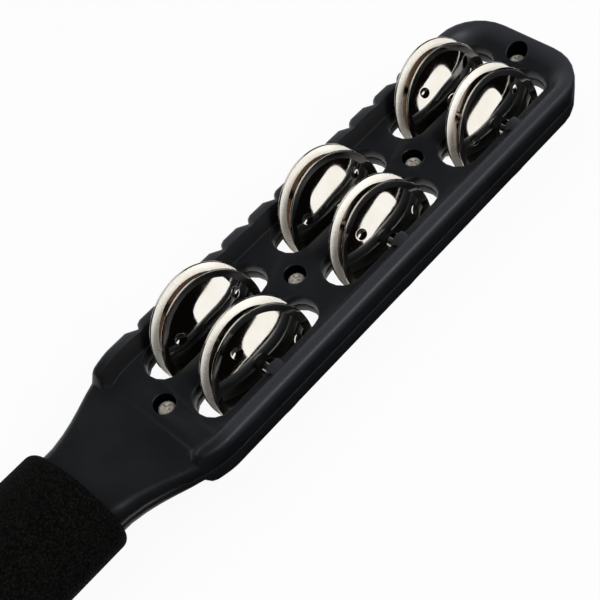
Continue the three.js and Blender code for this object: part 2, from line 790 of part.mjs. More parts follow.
// Foam grip: a round sleeve with rounded ends and a bore that follows the flat handle core
function buildGrip() {
  const r = GRIP_DIAMETER / 2;
  const x0 = FLANGE_X + GRIP_GAP;
  const x1 = GRIP_X - GRIP_GAP;
  const profile = [new THREE.Vector2(0, x0)];
  const arc = 3;
  for (let i = 0; i <= arc; i += 1) {
    const a = (i / arc) * (Math.PI / 2);
    const dx = GRIP_ROUND * (1 - Math.sin(a));
    profile.push(new THREE.Vector2(r - GRIP_ROUND * (1 - Math.cos(Math.PI / 2 - a)), x0 + dx));
  }
  for (let i = 0; i <= arc; i += 1) {
    const a = (i / arc) * (Math.PI / 2);
    profile.push(new THREE.Vector2(r - GRIP_ROUND * (1 - Math.cos(a)), x1 - GRIP_ROUND * (1 - Math.sin(a))));
  }
  profile.push(new THREE.Vector2(0, x1));
  const sleeve = new THREE.LatheGeometry(profile, 32);
  sleeve.rotateZ(-Math.PI / 2);
  const bore = new THREE.Shape();
  const half = CORE_WIDTH / 2 + GRIP_GAP;
  const top = NECK_END_Z + GRIP_GAP;
  const edge = NECK_EDGE_END;
  bore.moveTo(half, -top + edge);
  bore.lineTo(half, top - edge);
  bore.lineTo(half - edge * 0.3, top - edge * 0.3);
  bore.lineTo(half - edge, top);
  bore.lineTo(-half + edge, top);
  bore.lineTo(-half + edge * 0.3, top - edge * 0.3);
  bore.lineTo(-half, top - edge);
  bore.lineTo(-half, -top + edge);
  bore.lineTo(-half + edge * 0.3, -top + edge * 0.3);
  bore.lineTo(-half + edge, -top);
  bore.lineTo(half - edge, -top);
  bore.lineTo(half - edge * 0.3, -top + edge * 0.3);
  const cutter = new THREE.ExtrudeGeometry(bore, { depth: GRIP_LENGTH + 4, bevelEnabled: false });
  cutter.rotateX(Math.PI / 2);
  cutter.rotateZ(Math.PI / 2);
  cutter.translate(FLANGE_X - 2, 0, 0);
  return toGeometry(toSolid(outward(sleeve)).subtract(toSolid(outward(cutter))));
}

// Assembly

const stick = new THREE.Group();
stick.name = 'jingle_stick';

function place(parent, name, geometry, material) {
  const mesh = new THREE.Mesh(geometry, material);
  mesh.name = name;
  parent.add(mesh);
  return mesh;
}

place(stick, 'upper_shell', buildShell(1), makeMaterial(SHELL_COLOR, 0.45, 0));
place(stick, 'lower_shell', buildShell(-1), makeMaterial(SHELL_COLOR, 0.45, 0));

const screwNames = ['tip_screw', 'front_screw', 'rear_screw', 'neck_screw'];
screwXs.forEach((x, k) => {
  const screw = place(stick, screwNames[k], buildScrew(), makeMaterial(SCREW_COLOR, 0.5, 0.8));
  screw.position.set(x, 0, SCREW_HEAD_Z);
});

// Each station's pin carries four jingles: a pair in the left slot and a pair in the right slot. The
// domes of a pair face away from each other, and all the discs lean the same way on their loose holes.
const stationNames = ['tip', 'middle', 'neck'];
stationNames.forEach((station, k) => {
  const group = new THREE.Group();
  group.name = `${station}_station`;
  group.position.set(stationX(k), 0, 0);
  stick.add(group);
  const pin = crossCylinder(0, PIN_RADIUS, PIN_LENGTH, 12);
  place(group, `${station}_pin`, pin, makeMaterial(PIN_COLOR, 0.4, 1));
  for (const [row, side] of [['left', 1], ['right', -1]]) {
    for (const [disc, facing] of [['left', 1], ['right', -1]]) {
      const name = `${station}_${row}_slot_${disc}_jingle`;
      const turn = JINGLE_TURNS[k][(1 - side) + (1 - facing) / 2];
      const jingle = place(group, name, buildJingle(turn), makeMaterial(JINGLE_COLOR, 0.12, 1));
      jingle.position.set(0, side * ROW_Y + facing * JINGLE_SPACING, 0);
      jingle.rotation.x = facing > 0 ? -JINGLE_LEAN : Math.PI - JINGLE_LEAN;
    }
  }
});

place(stick, 'foam_grip', buildGrip(), makeMaterial(GRIP_COLOR, 0.95, 0));

export default stick;
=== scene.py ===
"""Jingle stick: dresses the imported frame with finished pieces, materials, a studio and a camera.

Units are metres in the part's own frame. X runs to the tip, Y to the scraper side, Z up.
"""

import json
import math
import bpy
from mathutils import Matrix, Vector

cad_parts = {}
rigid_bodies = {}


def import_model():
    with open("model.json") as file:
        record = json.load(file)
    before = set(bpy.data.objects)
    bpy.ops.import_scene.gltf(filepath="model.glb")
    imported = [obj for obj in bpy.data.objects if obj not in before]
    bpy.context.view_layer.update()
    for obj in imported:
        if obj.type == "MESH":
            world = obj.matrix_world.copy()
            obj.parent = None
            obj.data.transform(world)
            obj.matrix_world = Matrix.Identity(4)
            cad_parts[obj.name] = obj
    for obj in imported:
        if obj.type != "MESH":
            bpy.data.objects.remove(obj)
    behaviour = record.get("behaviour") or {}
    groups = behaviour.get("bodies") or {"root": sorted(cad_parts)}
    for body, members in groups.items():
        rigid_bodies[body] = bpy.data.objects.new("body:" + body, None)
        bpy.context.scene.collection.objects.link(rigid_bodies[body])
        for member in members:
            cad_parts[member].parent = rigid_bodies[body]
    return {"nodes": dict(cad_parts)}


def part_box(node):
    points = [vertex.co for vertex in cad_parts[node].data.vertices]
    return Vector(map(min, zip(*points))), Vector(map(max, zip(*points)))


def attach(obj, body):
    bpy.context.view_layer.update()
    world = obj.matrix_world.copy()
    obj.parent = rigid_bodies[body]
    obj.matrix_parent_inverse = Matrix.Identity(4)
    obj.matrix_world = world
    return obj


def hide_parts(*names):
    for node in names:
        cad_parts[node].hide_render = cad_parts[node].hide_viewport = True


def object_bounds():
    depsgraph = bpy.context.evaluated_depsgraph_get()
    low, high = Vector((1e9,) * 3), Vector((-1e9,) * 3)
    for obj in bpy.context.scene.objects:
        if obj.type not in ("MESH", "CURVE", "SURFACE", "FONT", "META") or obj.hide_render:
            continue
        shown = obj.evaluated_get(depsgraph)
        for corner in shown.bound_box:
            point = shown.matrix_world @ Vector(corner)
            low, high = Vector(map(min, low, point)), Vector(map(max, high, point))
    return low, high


bl_info = {
    "name": "Jingle Stick",
    "version": (1, 0, 0),
    "blender": (4, 5, 0),
    "location": "3D View > Sidebar > Jingle Stick",
    "description": "Dresses a jingle stick: half shells, jingles, pins, screws, "
                   "foam grip and studio",
    "category": "Add Mesh",
}

import bpy
from mathutils import Matrix, Vector

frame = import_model()
FRAME_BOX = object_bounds()
MM = 0.001

GRIP_LOW, GRIP_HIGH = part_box("foam_grip")

# Where the jingles sit: stations along X, rows across Y, two discs to a slot
STATIONS = {name: (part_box(f"{name}_pin")[0].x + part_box(f"{name}_pin")[1].x) / 2
            for name in ("tip", "middle", "neck")}
ROWS = {"left": 1, "right": -1}
DISCS = {"left": 1, "right": -1}
SCREWS = ("tip_screw", "front_screw", "rear_screw", "neck_screw")

# How far each disc has turned on its pin, in degrees
SPINS = {
    "tip_left_slot_left": 64, "tip_left_slot_right": 10,
    "tip_right_slot_left": 95, "tip_right_slot_right": 40,
    "middle_left_slot_left": 17, "middle_left_slot_right": 31,
    "middle_right_slot_left": 78, "middle_right_slot_right": 9,
    "neck_left_slot_left": 52, "neck_left_slot_right": 26,
    "neck_right_slot_left": 103, "neck_right_slot_right": -4,
}

# A jingle: the flange's points as shares of its width, the angles of its rounded rim, how fast the
# dome falls off, and how far the finer mesh reaches past a dimple
FLANGE_SHARES = (0.03, 0.25, 0.5, 0.75, 1.0)
RIM_ANGLES = (45, 90, 135)
DOME_POWER = 2.1
DIMPLE_MARGIN = 1.15

# The grip: half the width and height of its bore, how square the bore is, how far inside each end
# the bore has one more ring of points, and how far back from the front end the push reaches
BORE_HALF_WIDTH, BORE_HALF_HEIGHT = 0.0138, 0.0063
BORE_POWER = 0.55
BORE_RING_INSET = 0.006
PUSH_REACH = 0.03

# The plastic's masks: X over which the painted highlight fades in from the neck to the head, X over
# which the painted shade on the left rim fades out before the tip, and the normal's Y over which a
# slope takes the painted shade
NECK_FADE = (-0.014, -0.004)
TIP_FADE = (0.150, 0.138)
SLOPE_SHADE_FACING = (-0.12, -0.42)

# Round each screw hole, the reach of the walls that get the painted shade of the darker plastic copy
HOLE_REACH = 0.0042

# The studio: X of the point that the lamps aim at and the card stands round, the domes' radii, the
# cap's lowest height in degrees, the domes' faces, and which of the hood's faces are the window.
# WORLD_SOFT is the world's strength for rays that seen_rays leaves at 0, and FLOOR_GLOW the share
# of plain white in the floor for those that it sets to 1.
HEAD_X = 0.07
HOOD_RADIUS, CAP_RADIUS, CAP_LOW = 1.5, 1.45, 56
DOME_RINGS, DOME_SIDES = 8, 48
WINDOW_RINGS, WINDOW_SIDES = 2, range(3, 21)
WORLD_SOFT = 0.35
FLOOR_GLOW = 0.93


# Settings

class ShellSettings(bpy.types.PropertyGroup):
    color: bpy.props.FloatVectorProperty(
        name="Plastic", description="Colour of the moulded plastic",
        subtype="COLOR", size=3, min=0, max=1, default=(0.0060, 0.0069, 0.0092))
    roughness: bpy.props.FloatProperty(
        name="Roughness", description="Roughness of the satin surface",
        subtype="FACTOR", min=0, max=1, default=0.46)
    edge_radius: bpy.props.FloatProperty(
        name="Edge radius", description="Rounding of the moulded edges",
        subtype="DISTANCE", unit="LENGTH", min=0, default=0.00016)


class JingleSettings(bpy.types.PropertyGroup):
    radius: bpy.props.FloatProperty(
        name="Radius", description="Outer radius of a jingle",
        subtype="DISTANCE", unit="LENGTH", min=0.005, default=0.0188)
    hole: bpy.props.FloatProperty(
        name="Hole radius", description="Radius of the loose centre hole",
        subtype="DISTANCE", unit="LENGTH", min=0.001, default=0.00275)
    sheet: bpy.props.FloatProperty(
        name="Sheet", description="Thickness of the pressed sheet",
        subtype="DISTANCE", unit="LENGTH", min=0.0001, default=0.0006)
    dome: bpy.props.FloatProperty(
        name="Dome", description="Height of the dome over the flange",
        subtype="DISTANCE", unit="LENGTH", min=0, default=0.00245)
    flange: bpy.props.FloatProperty(
        name="Flange", description="Width of the flat flange round the dome",
        subtype="DISTANCE", unit="LENGTH", min=0, default=0.0026)
    spacing: bpy.props.FloatProperty(
        name="Spacing", description="Distance of each disc from the slot's middle",
        subtype="DISTANCE", unit="LENGTH", min=0, default=0.002)
    row: bpy.props.FloatProperty(
        name="Row", description="Distance of each row of slots from the middle line",
        subtype="DISTANCE", unit="LENGTH", min=0, default=0.0103)
    lean: bpy.props.FloatProperty(
        name="Lean", description="Angle at which the discs lean on their loose holes",
        subtype="ANGLE", unit="ROTATION", default=math.radians(20))
    flange_angle: bpy.props.FloatProperty(
        name="Flange angle", description="How far the flange turns towards the dome",
        subtype="ANGLE", unit="ROTATION", default=math.radians(13))
    dimple_circle: bpy.props.FloatProperty(
        name="Dimple circle", description="Distance of the dimples from the centre",
        subtype="DISTANCE", unit="LENGTH", min=0, default=0.0126)
    dimple_radius: bpy.props.FloatProperty(
        name="Dimple radius", description="Radius of a dimple",
        subtype="DISTANCE", unit="LENGTH", min=0, default=0.00165)
    dimple_depth: bpy.props.FloatProperty(
        name="Dimple depth", description="Depth of a dimple",
        subtype="DISTANCE", unit="LENGTH", min=0, default=0.00045)
    color: bpy.props.FloatVectorProperty(
        name="Plate", description="Colour of the nickel plate",
        subtype="COLOR", size=3, min=0, max=1, default=(0.94, 0.915, 0.865))
    roughness: bpy.props.FloatProperty(
        name="Roughness", description="Roughness of the nickel plate",
        subtype="FACTOR", min=0, max=1, default=0.055)
    rim_haze: bpy.props.FloatProperty(
        name="Rim haze", description="Added roughness on the back of the flange",
        subtype="FACTOR", min=0, max=1, default=0.22)


class GripSettings(bpy.types.PropertyGroup):
    color: bpy.props.FloatVectorProperty(
        name="Foam", description="Colour of the foam",
        subtype="COLOR", size=3, min=0, max=1, default=(0.0018, 0.0018, 0.0017))
    edge_radius: bpy.props.FloatProperty(
        name="Edge radius", description="Rounding of the foam's ends",
        subtype="DISTANCE", unit="LENGTH", min=0, default=0.0028)
    push: bpy.props.FloatProperty(
        name="Push", description="How far the front end is pushed up on the right side",
        subtype="DISTANCE", unit="LENGTH", min=0, default=0.0024)


class StageSettings(bpy.types.PropertyGroup):
    lens: bpy.props.FloatProperty(
        name="Lens", description="Focal length on a 36 mm sensor",
        min=1, default=73.07)
    floor_gap: bpy.props.FloatProperty(
        name="Floor gap", description="Space between the lowest point and the floor",
        subtype="DISTANCE", unit="LENGTH", min=0, default=0.0001)


# Shared effects

def new_group(name, inputs, outputs):
    """A shader node group with its sockets, and its input and output nodes."""
    group = bpy.data.node_groups.new(name, "ShaderNodeTree")
    for socket, default in inputs:
        made = group.interface.new_socket(socket, in_out="INPUT", socket_type="NodeSocketFloat")
        made.default_value = default
    for socket in outputs:
        group.interface.new_socket(socket, in_out="OUTPUT", socket_type="NodeSocketFloat")
    return group, group.nodes.new("NodeGroupInput"), group.nodes.new("NodeGroupOutput")


def add(tree, kind, **values):
    """A node with its properties and input values."""
    node = tree.nodes.new(kind)
    for key, value in values.items():
        if hasattr(node, key):
            setattr(node, key, value)
        else:
            node.inputs[key.replace("_", " ")].default_value = value
    return node


def math_node(tree, operation, *values):
    """A math node whose inputs are sockets or numbers."""
    node = tree.nodes.new("ShaderNodeMath")
    node.operation = operation
    for index, value in enumerate(values):
        if isinstance(value, (int, float)):
            node.inputs[index].default_value = value
        else:
            tree.links.new(value, node.inputs[index])
    return node.outputs[0]


def ramp(tree, source, low, high):
    """Maps a value from low..high to 0..1."""
    node = tree.nodes.new("ShaderNodeMapRange")
    node.inputs["From Min"].default_value = low
    node.inputs["From Max"].default_value = high
    tree.links.new(source, node.inputs["Value"])
    return node.outputs["Result"]


def object_parts(group):
    """X, Y and Z of the point in the piece's own frame."""
    place = group.nodes.new("ShaderNodeTexCoord")
    parts = group.nodes.new("ShaderNodeSeparateXYZ")
    group.links.new(place.outputs["Object"], parts.inputs[0])
    return parts.outputs


def seen_rays(tree):
    """1 for camera, glossy and transmission rays, and 0 for the rest."""
    path = tree.nodes.new("ShaderNodeLightPath").outputs
    seen = math_node(tree, "MAXIMUM", path["Is Camera Ray"], path["Is Glossy Ray"])
    return math_node(tree, "MAXIMUM", seen, path["Is Transmission Ray"])


def moulded_grain_group():
    """Fine height and mottle of a moulded or pressed surface."""
    group, start, end = new_group("Surface grain", [("Scale", 1.0), ("Mottle Scale", 1.0)],
                                  ["Height", "Mottle"])
    place = group.nodes.new("ShaderNodeTexCoord")
    fine = add(group, "ShaderNodeTexNoise", Detail=4.0, Roughness=0.6)
    broad = add(group, "ShaderNodeTexNoise", Detail=3.0, Roughness=0.55)
    group.links.new(place.outputs["Object"], fine.inputs["Vector"])
    group.links.new(place.outputs["Object"], broad.inputs["Vector"])
    group.links.new(start.outputs["Scale"], fine.inputs["Scale"])
    group.links.new(start.outputs["Mottle Scale"], broad.inputs["Scale"])
    group.links.new(fine.outputs["Fac"], end.inputs["Height"])
    group.links.new(ramp(group, broad.outputs["Fac"], 0.3, 0.7), end.inputs["Mottle"])
    return group


def painted_highlight_group():
    """A mask for the painted highlight: lighter plastic on the crests of the head's rims and on the
    scraper edge.
    """
    group, start, end = new_group("Painted highlight", [("Crest", 0.007), ("Side", 0.0235)], ["Mask"])
    parts = object_parts(group)
    crest = math_node(group, "DIVIDE", parts["Z"], start.outputs["Crest"])
    side = math_node(group, "DIVIDE", parts["Y"], start.outputs["Side"])
    high = math_node(group, "MAXIMUM", ramp(group, crest, 0.64, 1.0), ramp(group, side, 0.9, 1.0))
    high = math_node(group, "MULTIPLY", high, ramp(group, parts["X"], *NECK_FADE))
    group.links.new(high, end.inputs["Mask"])
    return group


def slope_shade_group():
    """A mask for the painted shade: darker plastic on the inner slope of the left rim, short of the
    tip.
    """
    group, start, end = new_group("Painted slope shade", [("Start", 0.0138), ("End", 0.0152)], ["Mask"])
    parts = object_parts(group)
    facing = group.nodes.new("ShaderNodeSeparateXYZ")
    group.links.new(group.nodes.new("ShaderNodeNewGeometry").outputs["Normal"], facing.inputs[0])
    across = group.nodes.new("ShaderNodeMapRange")
    group.links.new(parts["Y"], across.inputs["Value"])
    group.links.new(start.outputs["Start"], across.inputs["From Min"])
    group.links.new(start.outputs["End"], across.inputs["From Max"])
    slope = ramp(group, facing.outputs["Y"], *SLOPE_SHADE_FACING)
    high = math_node(group, "MULTIPLY", across.outputs["Result"], slope)
    high = math_node(group, "MULTIPLY", high, ramp(group, parts["X"], *TIP_FADE))
    group.links.new(high, end.inputs["Mask"])
    return group


def edge_wear_group():
    """A mask that is high on sharp outer edges and broken up by noise."""
    group, start, end = new_group("Edge wear", [("Radius", 0.0005), ("Break Up", 900.0)], ["Mask"])
    rounded = add(group, "ShaderNodeBevel", samples=4)
    group.links.new(start.outputs["Radius"], rounded.inputs["Radius"])
    true = group.nodes.new("ShaderNodeNewGeometry")
    dot = group.nodes.new("ShaderNodeVectorMath")
    dot.operation = "DOT_PRODUCT"
    group.links.new(rounded.outputs["Normal"], dot.inputs[0])
    group.links.new(true.outputs["Normal"], dot.inputs[1])
    edge = ramp(group, dot.outputs["Value"], 0.985, 0.86)
    place = group.nodes.new("ShaderNodeTexCoord")
    noise = add(group, "ShaderNodeTexNoise", Detail=4.0)
    group.links.new(place.outputs["Object"], noise.inputs["Vector"])
    group.links.new(start.outputs["Break Up"], noise.inputs["Scale"])
    broken = ramp(group, noise.outputs["Fac"], 0.38, 0.62)
    group.links.new(math_node(group, "MULTIPLY", edge, broken), end.inputs["Mask"])
    return group


def cavity_group():
    """A mask that is high in holes and tight corners."""
    group, start, end = new_group("Cavity", [("Distance", 0.004)], ["Mask"])
    around = add(group, "ShaderNodeAmbientOcclusion", samples=8)
    group.links.new(start.outputs["Distance"], around.inputs["Distance"])
    group.links.new(ramp(group, around.outputs["AO"], 0.8, 0.42), end.inputs["Mask"])
    return group


GROUPS = {}


def shared(name):
    """The shared effect group of that name, built once."""
    makers = {"grain": moulded_grain_group, "wear": edge_wear_group, "cavity": cavity_group,
              "painted_highlight": painted_highlight_group, "slope_shade": slope_shade_group}
    if name not in GROUPS:
        GROUPS[name] = makers[name]()
    return GROUPS[name]


def new_material(name):
    """An empty node material with a Principled shader and an output."""
    material = bpy.data.materials.new(name)
    material.use_nodes = True
    tree = material.node_tree
    shader = tree.nodes["Principled BSDF"]
    return material, tree, shader


def place_group(tree, name, **values):
    """A shared effect placed in a material with its own values."""
    node = tree.nodes.new("ShaderNodeGroup")
    node.node_tree = shared(name)
    for key, value in values.items():
        node.inputs[key.replace("_", " ")].default_value = value
    return node


def mix_color(tree, factor, a, b):
    """Mixes two colours by a mask; a and b are colours or sockets."""
    node = tree.nodes.new("ShaderNodeMix")
    node.data_type = "RGBA"
    tree.links.new(factor, node.inputs["Factor"])
    for socket, value in ((node.inputs[6], a), (node.inputs[7], b)):
        if isinstance(value, tuple):
            socket.default_value = (*value, 1.0)
        else:
            tree.links.new(value, socket)
    return node.outputs[2]


def bump(tree, height, strength, distance, normal=None):
    """A bump from a height."""
    node = tree.nodes.new("ShaderNodeBump")
    node.inputs["Strength"].default_value = strength
    node.inputs["Distance"].default_value = distance
    tree.links.new(height, node.inputs["Height"])
    if normal is not None:
        tree.links.new(normal, node.inputs["Normal"])
    return node.outputs["Normal"]


# Materials

def shell_material(settings, name="moulded_plastic", shade=1.0):
    """Satin black plastic: worn lighter edges, painted highlight on crests, painted shade in corners
    and on a slope.
    """
    material, tree, shader = new_material(name)
    grain = place_group(tree, "grain", Scale=2600.0, Mottle_Scale=70.0)
    mottle = grain.outputs["Mottle"]
    wear = place_group(tree, "wear", Radius=0.0006, Break_Up=700.0)
    base = tuple(c * shade for c in settings.color)
    pale = tuple(min(1.0, c * 1.35 + 0.001 * shade) for c in base)
    # The lighter tone serves the painted highlight on crests and the wear on sharp edges
    highlight_and_wear_tone = tuple(min(1.0, c * 3.5 + 0.010 * shade) for c in base)
    # The deep tone is painted shade in holes, corners and on the left rim's inner slope
    deep = tuple(c * 0.15 for c in base)
    cavity = place_group(tree, "cavity", Distance=0.005)
    painted_highlight = place_group(tree, "painted_highlight", Crest=0.007, Side=0.0235)
    slope_shade = place_group(tree, "slope_shade", Start=0.0138, End=0.0152)
    mottled = mix_color(tree, mottle, base, pale)
    # Painted highlight: lighter plastic on the head's crests and the scraper edge
    mottled = mix_color(tree, painted_highlight.outputs["Mask"], mottled, highlight_and_wear_tone)
    edged = mix_color(tree, wear.outputs["Mask"], mottled, highlight_and_wear_tone)
    # Painted shade on the left rim's inner slope, joined with the painted shade in holes and corners
    slope_shade_share = math_node(tree, "MULTIPLY", slope_shade.outputs["Mask"], 0.85)
    shaded = math_node(tree, "MAXIMUM", cavity.outputs["Mask"], slope_shade_share)
    tree.links.new(mix_color(tree, shaded, edged, deep), shader.inputs["Base Color"])
    rough = math_node(tree, "MULTIPLY_ADD", mottle, 0.08, settings.roughness - 0.04)
    rough = math_node(tree, "MAXIMUM", rough, shaded)
    tree.links.new(rough, shader.inputs["Roughness"])
    shader.inputs["IOR"].default_value = 1.5
    shader.inputs["Specular IOR Level"].default_value = 0.5 * shade
    rounded = add(tree, "ShaderNodeBevel", samples=6, Radius=0.0009)
    tree.links.new(bump(tree, grain.outputs["Height"], 0.28, 0.00006, rounded.outputs["Normal"]),
                   shader.inputs["Normal"])
    return material


def nickel_material(settings, name="nickel_plate", haze=0.0, painted_shade_tint=(1.0, 1.0, 1.0),
                    metal=1.0):
    """Bright nickel plate with a faint haze, which can be made hazier or less metallic, or darker
    and browner by a painted shade tint.
    """
    material, tree, shader = new_material(name)
    grain = place_group(tree, "grain", Scale=420.0, Mottle_Scale=160.0)
    mottle = grain.outputs["Mottle"]
    base = tuple(c * t for c, t in zip(settings.color, painted_shade_tint))
    warm = (base[0] * 0.97, base[1] * 0.94, base[2] * 0.88)
    tree.links.new(mix_color(tree, mottle, base, warm), shader.inputs["Base Color"])
    shader.inputs["Metallic"].default_value = metal
    rough = math_node(tree, "MULTIPLY_ADD", mottle, 0.05, settings.roughness - 0.02 + haze)
    tree.links.new(rough, shader.inputs["Roughness"])
    tree.links.new(bump(tree, grain.outputs["Height"], 0.12, 0.00004), shader.inputs["Normal"])
    return material


def wire_material():
    """Drawn steel wire of the cross pins."""
    material, tree, shader = new_material("drawn_wire")
    grain = place_group(tree, "grain", Scale=1800.0, Mottle_Scale=240.0)
    tree.links.new(mix_color(tree, grain.outputs["Mottle"], (0.42, 0.40, 0.37), (0.56, 0.54, 0.50)),
                   shader.inputs["Base Color"])
    shader.inputs["Metallic"].default_value = 1.0
    rough = math_node(tree, "MULTIPLY_ADD", grain.outputs["Mottle"], 0.12, 0.26)
    tree.links.new(rough, shader.inputs["Roughness"])
    tree.links.new(bump(tree, grain.outputs["Height"], 0.2, 0.00004), shader.inputs["Normal"])
    return material


def screw_material():
    """Dull yellowish plate of the screw heads, mottled, and paler on sharp edges."""
    material, tree, shader = new_material("screw_plate")
    grain = place_group(tree, "grain", Scale=1500.0, Mottle_Scale=900.0)
    wear = place_group(tree, "wear", Radius=0.0003, Break_Up=2500.0)
    mottled = mix_color(tree, grain.outputs["Mottle"], (0.34, 0.31, 0.27), (0.66, 0.62, 0.55))
    tree.links.new(mix_color(tree, wear.outputs["Mask"], mottled, (0.85, 0.82, 0.76)),
                   shader.inputs["Base Color"])
    shader.inputs["Metallic"].default_value = 0.3
    rough = math_node(tree, "MULTIPLY_ADD", grain.outputs["Mottle"], 0.2, 0.38)
    tree.links.new(rough, shader.inputs["Roughness"])
    tree.links.new(bump(tree, grain.outputs["Height"], 0.35, 0.00006), shader.inputs["Normal"])
    return material


def foam_material(settings):
    """Closed-cell foam: matt near-black with a fine speckle of open cells."""
    material, tree, shader = new_material("cell_foam")
    place = tree.nodes.new("ShaderNodeTexCoord")
    cells = add(tree, "ShaderNodeTexVoronoi", Scale=1350.0)
    tree.links.new(place.outputs["Object"], cells.inputs["Vector"])
    grain = place_group(tree, "grain", Scale=1500.0, Mottle_Scale=90.0)
    base = tuple(settings.color)
    pale = (base[0] * 5.0 + 0.001, base[1] * 5.2 + 0.001, base[2] * 4.8 + 0.0008)
    warm = (base[0] * 1.5, base[1] * 1.1, base[2] * 1.15)
    speck = math_node(tree, "MULTIPLY", ramp(tree, cells.outputs["Distance"], 0.75, 0.2),
                      ramp(tree, grain.outputs["Height"], 0.36, 0.62))
    mottled = mix_color(tree, grain.outputs["Mottle"], base, warm)
    tree.links.new(mix_color(tree, speck, mottled, pale), shader.inputs["Base Color"])
    shader.inputs["Roughness"].default_value = 0.95
    shader.inputs["Specular IOR Level"].default_value = 0.08
    height = math_node(tree, "ADD", cells.outputs["Distance"], grain.outputs["Height"])
    tree.links.new(bump(tree, height, 0.7, 0.00022), shader.inputs["Normal"])
    return material


def floor_material():
    """White floor that stays pale to the camera and in reflections, and keeps a soft shadow."""
    material, tree, shader = new_material("floor_white")
    shader.inputs["Base Color"].default_value = (0.9, 0.9, 0.9, 1)
    shader.inputs["Roughness"].default_value = 0.8
    seen = seen_rays(tree)
    glow = add(tree, "ShaderNodeEmission", Strength=1.0)
    glow.inputs["Color"].default_value = (1, 1, 1, 1)
    mix = tree.nodes.new("ShaderNodeMixShader")
    tree.links.new(math_node(tree, "MULTIPLY", seen, FLOOR_GLOW), mix.inputs[0])
    tree.links.new(shader.outputs[0], mix.inputs[1])
    tree.links.new(glow.outputs[0], mix.inputs[2])
    tree.links.new(mix.outputs[0], tree.nodes["Material Output"].inputs["Surface"])
    return material


def flag_material():
    """Dark studio cloth of the hood and of the reflection cloth on the floor."""
    material, tree, shader = new_material("studio_flag")
    shader.inputs["Base Color"].default_value = (0.005, 0.0035, 0.003, 1)
    shader.inputs["Roughness"].default_value = 1.0
    shader.inputs["Specular IOR Level"].default_value = 0.0
    return material


def card_material():
    """Pale card of the upright card, the cap and the window."""
    material, tree, shader = new_material("studio_card")
    shader.inputs["Base Color"].default_value = (0.0, 0.0, 0.0, 1)
    shader.inputs["Emission Color"].default_value = (1.0, 1.0, 0.99, 1)
    shader.inputs["Emission Strength"].default_value = 1.0
    return material


# Mesh helpers

def link_mesh(name, verts, faces, material, smooth=True):
    """A new object from points and faces."""
    mesh = bpy.data.meshes.new(name)
    mesh.from_pydata(verts, [], faces)
    mesh.update()
    mesh.polygons.foreach_set("use_smooth", [smooth] * len(mesh.polygons))
    mesh.materials.append(material)
    made = bpy.data.objects.new(name, mesh)
    bpy.context.scene.collection.objects.link(made)
    return made


def ring_faces(count, around, closed=True):
    """Faces between rings of points, and from the last ring to the first where it closes."""
    faces = []
    for i in range(count if closed else count - 1):
        this, after = i * around, (i + 1) % count * around
        for k in range(around):
            beside = (k + 1) % around
            faces.append((this + k, this + beside, after + beside, after + k))
    return faces


def set_material(node, material):
    """Gives a CAD node its finished material."""
    cad = frame["nodes"][node]
    cad.data.materials.clear()
    cad.data.materials.append(material)
    return cad


def soften_edges(cad, radius, angle=32):
    """Rounds a CAD node's edges for the looks, without changing its mesh."""
    cad.data.polygons.foreach_set("use_smooth", [True] * len(cad.data.polygons))
    weld = cad.modifiers.new("weld", "WELD")
    weld.merge_threshold = 0.000002
    edges = cad.modifiers.new("edges", "BEVEL")
    edges.width = radius
    edges.segments = 2
    edges.limit_method = "ANGLE"
    edges.angle_limit = math.radians(angle)
    edges.harden_normals = True


# Jingles

def spread(low, high, step):
    """Numbers from low up to, but not with, high."""
    count = max(1, round((high - low) / step))
    return [low + (high - low) * i / count for i in range(count)]


def jingle_profile(settings):
    """Radius and height of the sheet's middle from hole to rim, finer where the dimples are."""
    foot = settings.radius - settings.flange
    crease = foot - 0.06 * MM
    fine = settings.dimple_radius * DIMPLE_MARGIN
    inner = settings.dimple_circle - fine
    outer = min(settings.dimple_circle + fine, foot - 0.4 * MM)
    radii = spread(settings.hole, inner, step=0.7 * MM)
    radii += spread(inner, outer, step=0.19 * MM)
    radii += spread(outer, crease, step=0.3 * MM) + [crease, foot]
    points = []
    for r in radii:
        run = (r - settings.hole) / (foot - settings.hole)
        points.append((r, settings.dome * (1 - run ** DOME_POWER)))
    width = settings.flange - settings.sheet * 0.4
    for share in FLANGE_SHARES:
        points.append((foot + width * share, width * share * math.tan(settings.flange_angle)))
    return points


